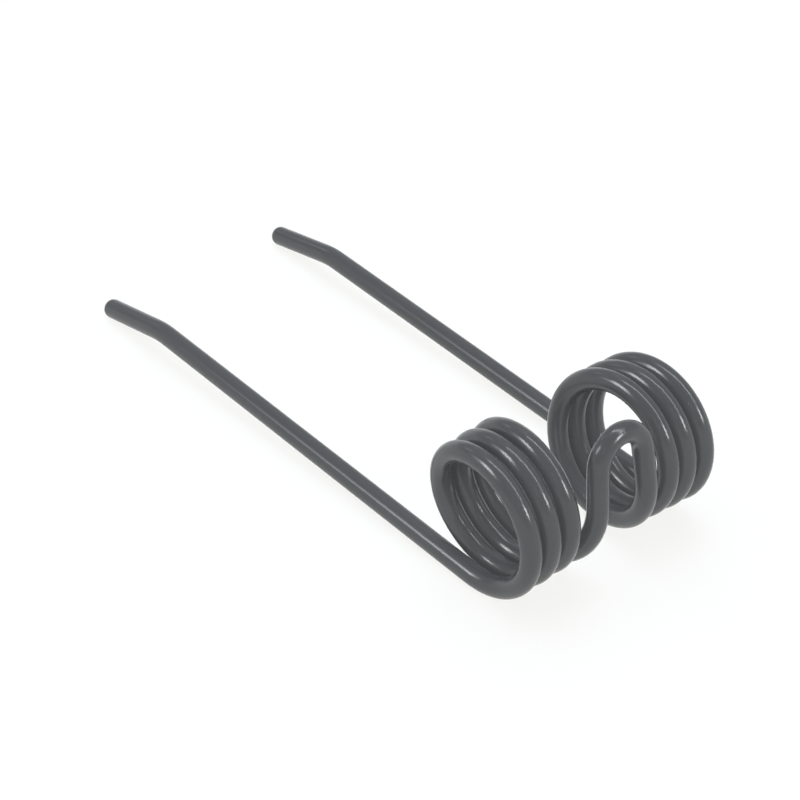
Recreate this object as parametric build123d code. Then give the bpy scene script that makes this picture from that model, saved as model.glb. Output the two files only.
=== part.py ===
from build123d import *
import os
from math import asin, atan2, cos, degrees, hypot, pi, radians, sin

# A double-coil spring tine for the pick-up reel of a baler.
# It is one length of round spring wire, bent cold: tip, arm, coil, bolt loop, and
# the same again mirrored. Millimetres and degrees.
# +X runs along the coils, +Y towards the tips, +Z up. The origin is the centre of
# the bolt in the loop between the coils, and the tine lies as it rests on a floor.

# Wire
wire_diameter = 6.0

# Bolt loop between the coils
bolt_gap = 10.2
leg_length = 10.5
leg_splay = 4.0
leg_lean = 10.0
rise_radius = 20.0

# Coils
coil_bore = 32.0
coil_turns = 3
turn_gap = 0.7
coil_droop = 4.0

# Arms
arm_ease_radius = 40.0
arm_splay = 0.3
arm_length = 135.0

# Tips, bent down from the line of the arms
tip_bend_radius = 25.0
tip_bend = 13.0
tip_length = 26.0
tip_round = 2.0

# Sizes that follow
wire_radius = wire_diameter / 2
top_radius = bolt_gap / 2 + wire_radius
coil_radius = coil_bore / 2 + wire_radius
coil_pitch = wire_diameter + turn_gap
coil_length = coil_turns * coil_pitch

# Directions of travel, from the top of the loop out to the right-hand tip
across = Vector(1, 0, 0)
towards_tip = Vector(0, 1, 0)
down = Vector(0, 0, -1)


def leg_direction():
    """Down a leg, which opens outwards by its splay and leans back from its foot."""
    splay = radians(leg_splay)
    lean = radians(leg_lean)
    return Vector(sin(splay), -cos(splay) * sin(lean), -cos(splay) * cos(lean))


def coil_axis():
    """Along a coil from its inner end to its outer end, which hangs a little lower."""
    droop = radians(coil_droop)
    return Vector(cos(droop), 0, -sin(droop))


def coil_lead():
    """The wire's own direction at the bottom of a turn, where it heads for the tips."""
    one_turn = 2 * pi * coil_radius
    return (towards_tip * one_turn + coil_axis() * coil_pitch).normalized()


def arm_direction():
    """Along an arm, which opens outwards a little towards its tip."""
    splay = radians(arm_splay)
    return Vector(sin(splay), cos(splay), 0)


def tip_direction():
    """Along the last stretch of an arm, which is bent down."""
    dip = radians(tip_bend)
    return arm_direction() * cos(dip) + down * sin(dip)


def straight(start, direction, length):
    """A straight run of wire."""
    return Line(start, start + direction * length)


def bend(start, direction, new_direction, radius):
    """A round bend that takes the wire from one direction to another."""
    turn = radians(direction.get_angle(new_direction))
    inward = (new_direction - direction * direction.dot(new_direction)).normalized()
    reach = direction * (radius * sin(turn))
    drop = inward * (radius * (1 - cos(turn)))
    return TangentArc(start, start + reach + drop, tangent=direction)


def coil(start):
    """The turns of one coil, wound outwards from the bottom of its inner end."""
    to_start = towards_tip.cross(coil_axis())
    centre = start - to_start * coil_radius
    turns = Helix(coil_pitch, coil_length, coil_radius)
    return Plane(origin=centre, x_dir=to_start, z_dir=coil_axis()) * turns


def half_route():
    """The centre line of the right-hand half, piece by piece from the loop's top to the tip."""
    leg = leg_direction()
    lead = coil_lead()
    arm = arm_direction()
    tip = tip_direction()
    below_top = (leg - across * across.dot(leg)).normalized()
    route = {}
    route["top"] = bend(below_top * -top_radius, across, leg, top_radius)
    route["leg"] = straight(route["top"] @ 1, leg, leg_length)
    route["rise"] = bend(route["leg"] @ 1, leg, lead, rise_radius)
    route["coil"] = coil(route["rise"] @ 1)
    route["ease"] = bend(route["coil"] @ 1, lead, arm, arm_ease_radius)
    route["arm"] = straight(route["ease"] @ 1, arm, arm_length)
    route["dip"] = bend(route["arm"] @ 1, arm, tip, tip_bend_radius)
    route["tip"] = straight(route["dip"] @ 1, tip, tip_length)
    return route


def half_wire(route):
    """Round wire along the half route, with the cut end at the tip rounded over."""
    section = Plane(origin=route["top"] @ 0, z_dir=across) * Circle(wire_radius)
    wire = sweep(section, path=Wire([piece.edge() for piece in route.values()]))
    cut_end = route["tip"] @ 1
    rim = wire.edges().filter_by(GeomType.CIRCLE).sort_by_distance(cut_end)[0]
    return fillet(rim, tip_round)


def rest_angle(route):
    """The turn about X that lays the coils' undersides and the tips' on one level floor."""
    coil_end = (route["coil"] @ 1) - towards_tip.cross(coil_axis()) * coil_radius
    coil_reach = coil_radius * cos(radians(coil_droop)) + wire_radius
    under = tip_direction().cross(across).normalized()
    rim_centre = (route["tip"] @ 1) - tip_direction() * tip_round
    rim_centre += under * (wire_radius - tip_round)
    run = rim_centre.Y - coil_end.Y
    rise = rim_centre.Z - coil_end.Z
    slope = atan2(rise, run)
    wedge = asin((coil_reach - tip_round) / hypot(run, rise))
    return -degrees(slope + wedge)


def spring_tine():
    """The whole tine: one solid, symmetric about the upright plane through the bolt."""
    route = half_route()
    right_half = half_wire(route)
    left_half = mirror(right_half, about=Plane.YZ)
    whole = right_half + left_half
    return whole.rotate(Axis.X, rest_angle(route))


os.makedirs("parts", exist_ok=True)
export_step(spring_tine(), "parts/spring_tine.step")
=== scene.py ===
# %% [markdown]
# A tine from the pick-up reel of a baler. It is one length of 6 mm spring wire, bent cold
# into a bolt loop, two coils and two arms, and then given a dark grey enamel. The solid
# already has the true form of the wire, down to its rounded ends. So nothing is modelled
# here: this lesson gives the wire its finish, and sets up a plain studio round it with a
# floor, a white tent, lamps and a camera.

# %% Load the wire
import bpy
from math import cos, pi, radians, sin, tan
from mathutils import Matrix, Vector


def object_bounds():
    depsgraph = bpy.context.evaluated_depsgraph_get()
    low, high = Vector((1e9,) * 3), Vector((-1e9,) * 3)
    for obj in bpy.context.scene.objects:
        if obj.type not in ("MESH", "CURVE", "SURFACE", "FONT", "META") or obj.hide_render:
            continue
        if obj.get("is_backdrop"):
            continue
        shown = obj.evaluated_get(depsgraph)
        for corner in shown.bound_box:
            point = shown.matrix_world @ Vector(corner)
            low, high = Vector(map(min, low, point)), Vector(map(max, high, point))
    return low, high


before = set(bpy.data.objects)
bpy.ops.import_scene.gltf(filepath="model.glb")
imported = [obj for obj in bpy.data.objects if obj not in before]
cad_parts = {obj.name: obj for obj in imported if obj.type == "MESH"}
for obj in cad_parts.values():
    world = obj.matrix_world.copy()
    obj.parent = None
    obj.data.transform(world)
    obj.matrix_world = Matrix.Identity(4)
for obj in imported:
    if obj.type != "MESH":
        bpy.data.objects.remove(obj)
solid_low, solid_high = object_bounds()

MM = 0.001
scene = bpy.context.scene
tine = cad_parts["spring_tine"]
centre = (solid_low + solid_high) / 2
print("the wire's mesh has", len(tine.data.polygons), "triangles")
print("its box in mm:", [round(side / MM, 1) for side in solid_high - solid_low])

# %% [markdown]
# A colour picker shows sRGB values, and that is how the greys below are written down.
# Light adds up in linear values, and shaders expect those, so each hex colour goes
# through one function on its way to a socket.

# %% A colour from its hex value
def linear(hex_colour):
    """Linear RGBA from an sRGB hex colour such as 5b5c5e."""
    channels = [int(hex_colour[i:i + 2], 16) / 255 for i in (0, 2, 4)]
    return [c / 12.92 if c <= 0.04045 else ((c + 0.055) / 1.055) ** 2.4 for c in channels] + [1.0]


print("a mid grey in linear light:", [round(value, 3) for value in linear("808080")])

# %% [markdown]
# A material is a small graph of nodes. One helper adds any node, sets its options, and
# fills its sockets with a value or a link: the first ones in order, and others by name.
# So each graph below reads from top to bottom, in the order in which the light or the
# colour is worked out.

# %% Adding a node
def add_node(tree, kind, *inputs, settings=None, **named_inputs):
    """Add one node: inputs fill its first sockets, named ones the sockets of that name."""
    node = tree.nodes.new(kind)
    for name, value in (settings or {}).items():
        setattr(node, name, value)
    wanted = list(zip(node.inputs, inputs))
    for name, value in named_inputs.items():
        label = name.replace("_", " ")
        wanted.append((next(s for s in node.inputs if s.name == label and s.enabled), value))
    for socket, value in wanted:
        if isinstance(value, bpy.types.NodeSocket):
            tree.links.new(value, socket)
        else:
            socket.default_value = value
    return node


def new_material(name):
    """An empty material and its node tree."""
    material = bpy.data.materials.new(name)
    material.use_nodes = True
    material.node_tree.nodes.clear()
    return material, material.node_tree


# %% [markdown]
# Object coordinates are in metres, so the scale of a noise pattern on them is the number
# of lumps in a metre. Real finishes are measured in millimetres, so the scales are
# worked out from the size of one lump.

# %% A pattern's scale from its real size
def lumps_per_metre(size_mm):
    """The noise scale at which one lump of the pattern is this many millimetres."""
    return 1 / (size_mm * MM)


print("lumps of 20 mm are", lumps_per_metre(20), "to the metre")

# %% [markdown]
# Bare spring wire soon rusts, so the bent and tempered tine is dipped in enamel, left to
# drain and stoved. That skin is some 0.03 mm thick, smooth and semi-gloss. A flat grey
# would look like plastic, so three things vary. The grey drifts over two or three
# centimetres, because the enamel drains unevenly. Its gloss varies over less than one.
# Stoving leaves a faint orange peel, which breaks the edge of a streak a little. A real
# peel has lumps of about 1 mm, too fine for this view, so it is drawn at 1.8 mm.

# %% Stoved dip enamel
CLOUD_SIZE = 24
SHEEN_SIZE = 9
PEEL_SIZE = 1.8
PEEL_DEPTH = 0.0025 * MM
THIN_GREY = "4b4c4d"
THICK_GREY = "515253"
GLOSSY_ROUGHNESS = 0.17
DULL_ROUGHNESS = 0.22
ENAMEL_IOR = 1.42


def stoved_dip_enamel():
    """Dark grey enamel: it gives narrow streaks, soft clouds of grey and a faint orange peel."""
    material, tree = new_material("dark_grey_stoved_dip_enamel")
    place = add_node(tree, "ShaderNodeTexCoord").outputs["Object"]
    clouds = add_node(
        tree, "ShaderNodeTexNoise",
        Vector=place, Scale=lumps_per_metre(CLOUD_SIZE), Detail=3.0,
    )
    grey = add_node(
        tree, "ShaderNodeMix", settings={"data_type": "RGBA"},
        Factor=clouds.outputs["Fac"], A=linear(THIN_GREY), B=linear(THICK_GREY),
    )
    sheen = add_node(
        tree, "ShaderNodeTexNoise",
        Vector=place, Scale=lumps_per_metre(SHEEN_SIZE), Detail=2.0,
    )
    roughness = add_node(
        tree, "ShaderNodeMapRange",
        Value=sheen.outputs["Fac"], To_Min=GLOSSY_ROUGHNESS, To_Max=DULL_ROUGHNESS,
    )
    peel = add_node(
        tree, "ShaderNodeTexNoise",
        Vector=place, Scale=lumps_per_metre(PEEL_SIZE), Detail=1.0,
    )
    skin = add_node(tree, "ShaderNodeBump", Height=peel.outputs["Fac"], Distance=PEEL_DEPTH)
    enamel = add_node(
        tree, "ShaderNodeBsdfPrincipled",
        Base_Color=next(s for s in grey.outputs if s.enabled),
        Roughness=roughness.outputs["Result"], IOR=ENAMEL_IOR, Normal=skin.outputs["Normal"],
    )
    add_node(tree, "ShaderNodeOutputMaterial", Surface=enamel.outputs["BSDF"])
    return material


tine.data.materials.clear()
tine.data.materials.append(stoved_dip_enamel())
print("the wire's finish is", tine.data.materials[0].name)

# %% [markdown]
# Floor and tent both have to look brighter than the light that they shed. So both ask the
# same question of a ray: is it a camera ray, or one that is mirrored or passes through
# glass? All other rays carry light from surface to surface.

# %% Which rays see the studio
def seen_directly(tree):
    """A socket that is 1 for camera, mirrored and glass rays, and 0 for rays that carry light."""
    rays = add_node(tree, "ShaderNodeLightPath").outputs
    bounced = add_node(
        tree, "ShaderNodeMath", rays["Is Glossy Ray"], rays["Is Transmission Ray"],
        settings={"operation": "MAXIMUM"},
    )
    seen = add_node(
        tree, "ShaderNodeMath", rays["Is Camera Ray"], bounced.outputs[0],
        settings={"operation": "MAXIMUM"},
    )
    return seen.outputs[0]


# %% [markdown]
# The floor is a sheet of matt paper just under the wire. White paper would throw too
# much light up at the wire's underside, and more light on it would burn the shadow out.
# So the paper is a pale warm grey. A glow that only the camera, mirrors and glass see
# lifts it to white: it puts no light on matt surfaces, and the soft shadow stays.

# %% Paper floor
FLOOR_SIZE = 6.0
PAPER_GREY = "bbbab5"
PAPER_GLOW = 0.45


def matt_paper():
    """Pale matt paper: a ground without gloss, on which soft shadows show."""
    material, tree = new_material("pale_matt_paper")
    strength = add_node(
        tree, "ShaderNodeMath", seen_directly(tree), PAPER_GLOW,
        settings={"operation": "MULTIPLY"},
    )
    paper = add_node(tree, "ShaderNodeBsdfDiffuse", Color=linear(PAPER_GREY))
    glow = add_node(tree, "ShaderNodeEmission", Strength=strength.outputs[0])
    both = add_node(tree, "ShaderNodeAddShader", paper.outputs["BSDF"], glow.outputs["Emission"])
    add_node(tree, "ShaderNodeOutputMaterial", Surface=both.outputs["Shader"])
    return material


bpy.ops.object.select_all(action="DESELECT")
bpy.ops.mesh.primitive_plane_add(size=FLOOR_SIZE, location=(centre.x, centre.y, solid_low.z))
floor = bpy.context.object
floor.name = "paper_floor"
floor.data.materials.append(matt_paper())
floor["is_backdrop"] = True
print("the floor lies at", round(solid_low.z / MM, 1), "mm")

# %% [markdown]
# The room is a white tent. Its wall looks as white as the floor, so a low view has no
# hard horizon. Its roof is dimmer, because the upper sides of the wire mirror it, and a
# white roof would turn them too pale. A world's Generated coordinates are the direction
# of a ray, so their Z says how high the ray points. The light that the tent sheds is a
# number of its own, apart from how bright it looks.

# %% White tent
TENT_WHITE = "ffffff"
WALL_LOOK = 1.0
ROOF_LOOK = 0.42
WALL_TOP = 4
ROOF_START = 18
TENT_LIGHT = 0.1

world = bpy.data.worlds.new("white_tent")
scene.world = world
world.use_nodes = True
tree = world.node_tree
tree.nodes.clear()
direction = add_node(tree, "ShaderNodeTexCoord").outputs["Generated"]
height = add_node(tree, "ShaderNodeSeparateXYZ", Vector=direction).outputs["Z"]
look = add_node(
    tree, "ShaderNodeMapRange", settings={"interpolation_type": "SMOOTHSTEP"},
    Value=height, From_Min=sin(radians(WALL_TOP)), From_Max=sin(radians(ROOF_START)),
    To_Min=WALL_LOOK, To_Max=ROOF_LOOK,
)
strength = add_node(
    tree, "ShaderNodeMapRange",
    Value=seen_directly(tree), To_Min=TENT_LIGHT, To_Max=look.outputs["Result"],
)
tent = add_node(
    tree, "ShaderNodeBackground", Color=linear(TENT_WHITE), Strength=strength.outputs["Result"],
)
add_node(tree, "ShaderNodeOutputWorld", Surface=tent.outputs["Background"])
print("the tent's roof looks", ROOF_LOOK, "bright and its light is", TENT_LIGHT)

# %% [markdown]
# Five lamps light the tine. Suns do this best: they are far away, so the whole floor is
# lit alike. A sun's strength is in watts per square metre, and pi of them make a white
# surface that faces it look white. The front lamp stands behind the camera and gives
# more light than any other. With shadows it would darken the insides of the coils too
# much, so it and the three other fills cast none. The top lamp is wide and cool, like a
# skylight: it turns the upper sides a little blue and gives the floor its soft shadow.
# None of the five shows in the gloss.

# %% Lamps that light the tine
FRONT = -139.4
FILL_WIDTH = 20
LAMP_WHITE = "fcfdff"
COOL_WHITE = "d4e3ff"


def towards(azimuth, elevation):
    """The direction from the tine to a place; azimuth runs from +Y towards +X, in degrees."""
    a, e = radians(azimuth), radians(elevation)
    return Vector((sin(a) * cos(e), cos(a) * cos(e), sin(e)))


def far_lamp(name, azimuth, elevation, light, width=FILL_WIDTH, colour=LAMP_WHITE, shadow=False):
    """A lamp that looks width degrees wide; at a light of 1, white that faces it is white."""
    direction = towards(azimuth, elevation)
    bpy.ops.object.light_add(type="SUN", location=centre + direction)
    lamp = bpy.context.object
    lamp.name = name
    lamp.rotation_euler = direction.to_track_quat("Z", "Y").to_euler()
    lamp.data.angle = radians(width)
    lamp.data.color = linear(colour)[:3]
    lamp.data.energy = light * pi
    lamp.data.use_shadow = shadow
    lamp.visible_glossy = False
    print(name, "adds", round(light * sin(radians(elevation)), 2), "to the floor")


far_lamp("front_fill", FRONT, 36, light=0.78)
far_lamp("back_fill", FRONT + 180, 40, light=0.47)
far_lamp("left_fill", FRONT + 90, 15, light=0.18)
far_lamp("right_fill", FRONT - 90, 15, light=0.22)
far_lamp("top_lamp", 20, 70, light=0.3, width=60, colour=COOL_WHITE, shadow=True)

# %% [markdown]
# Gloss only shows where there is something to mirror. These lamps are flat light boxes
# that show as streaks along the wire and light nothing that is matt, so each can be
# placed, sized and dimmed for its streak alone. Each is given by the two directions
# between which it lies, as seen from the tine, and by how wide it looks. The left box
# gives the streaks along the arms and on the upper left of each turn, and the right box
# those on the right of each turn. The two strips run over the top and down towards the
# right box, and draw the thin line between those streaks. The window gives the tips a
# faint one. The glow stands close by on the left, where the near arm mirrors it and the
# far arm hardly does. An area lamp's brightness is its watts over pi and over its area.

# %% Lamps that show in the gloss
FAR = 3.0
NEAR = 0.53


def light_box(name, one_end, other_end, width, brightness, distance=FAR):
    """A flat lamp that lies between two directions and is seen only as a streak in the gloss."""
    start, end = towards(*one_end), towards(*other_end)
    middle = (start + end).normalized()
    along = (end - start).normalized()
    length = 2 * distance * tan(start.angle(end) / 2)
    breadth = 2 * distance * tan(radians(width) / 2)
    bpy.ops.object.light_add(type="AREA", location=centre + middle * distance)
    lamp = bpy.context.object
    lamp.name = name
    lamp.rotation_euler = Matrix((along, middle.cross(along), middle)).transposed().to_euler()
    lamp.data.shape = "RECTANGLE"
    lamp.data.size = length
    lamp.data.size_y = breadth
    lamp.data.energy = brightness * pi * length * breadth
    lamp.data.color = linear(LAMP_WHITE)[:3]
    lamp.visible_diffuse = False
    print(name, "is", round(length, 2), "m long and", round(breadth, 2), "m wide")


light_box("right_box", (155, 36), (160, 20), width=13, brightness=20.0)
light_box("left_box", (-67, 28), (-60, 46), width=19, brightness=15.0)
light_box("left_glow", (-56, 24), (-51, 38), width=14, brightness=2.5, distance=NEAR)
light_box("high_strip", (15, 67), (120, 64), width=6, brightness=11.0)
light_box("low_strip", (120, 64), (148, 40), width=6, brightness=11.0)
light_box("window", (-2, 36), (-13, 31), width=12, brightness=1.6)

# %% [markdown]
# The camera looks down on the tine from behind its bolt loop, over the left coil. It
# stands 0.62 m off, so the nearest part of the wire looks about 30 % larger than the
# farthest. A lens of nearly 100 mm makes the tine fill most of the picture's width.
# Where it stands, how it is turned and how much it takes in were worked out from the
# outline of the wire. The point that it aims at lies a little off the middle of the
# tine, so the lens needs no shift.

# %% Camera
VIEW_AZIMUTH = 40.61
VIEW_ELEVATION = 36.35
VIEW_ROLL = 0.16
VIEW_ANGLE = 20.79
VIEW_DISTANCE = 622.3 * MM
AIM = centre + Vector((-3.75, -8.75, -12.35)) * MM
SENSOR_WIDTH = 36.0

back = towards(VIEW_AZIMUTH + 180, VIEW_ELEVATION)
bpy.ops.object.camera_add(location=AIM + back * VIEW_DISTANCE)
camera = bpy.context.object
camera.name = "camera"
turn = back.to_track_quat("Z", "Y").to_matrix() @ Matrix.Rotation(radians(VIEW_ROLL), 3, "Z")
camera.rotation_euler = turn.to_euler()
camera.data.sensor_width = SENSOR_WIDTH
camera.data.lens = SENSOR_WIDTH / 2 / tan(radians(VIEW_ANGLE) / 2)
scene.camera = camera
print("the camera stands at", [round(x / MM) for x in camera.location], "mm")
print("its lens is", round(camera.data.lens, 1), "mm long")

# %% [markdown]
# The Standard view transform shows a colour as it is written, which suits a plain
# studio. Other view transforms would bend the greys. The finish has changed no shape, so
# the box of the finished tine is the box of the solid, and the two boxes are compared
# here and their difference printed.

# %% Colours as written, sizes and the end
scene.view_settings.view_transform = "Standard"
seen_low, seen_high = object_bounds()
grown = max(abs(a - b) for a, b in zip([*solid_low, *solid_high], [*seen_low, *seen_high]))
print("the finished tine's box differs from the solid's by", round(grown / MM, 3), "mm")
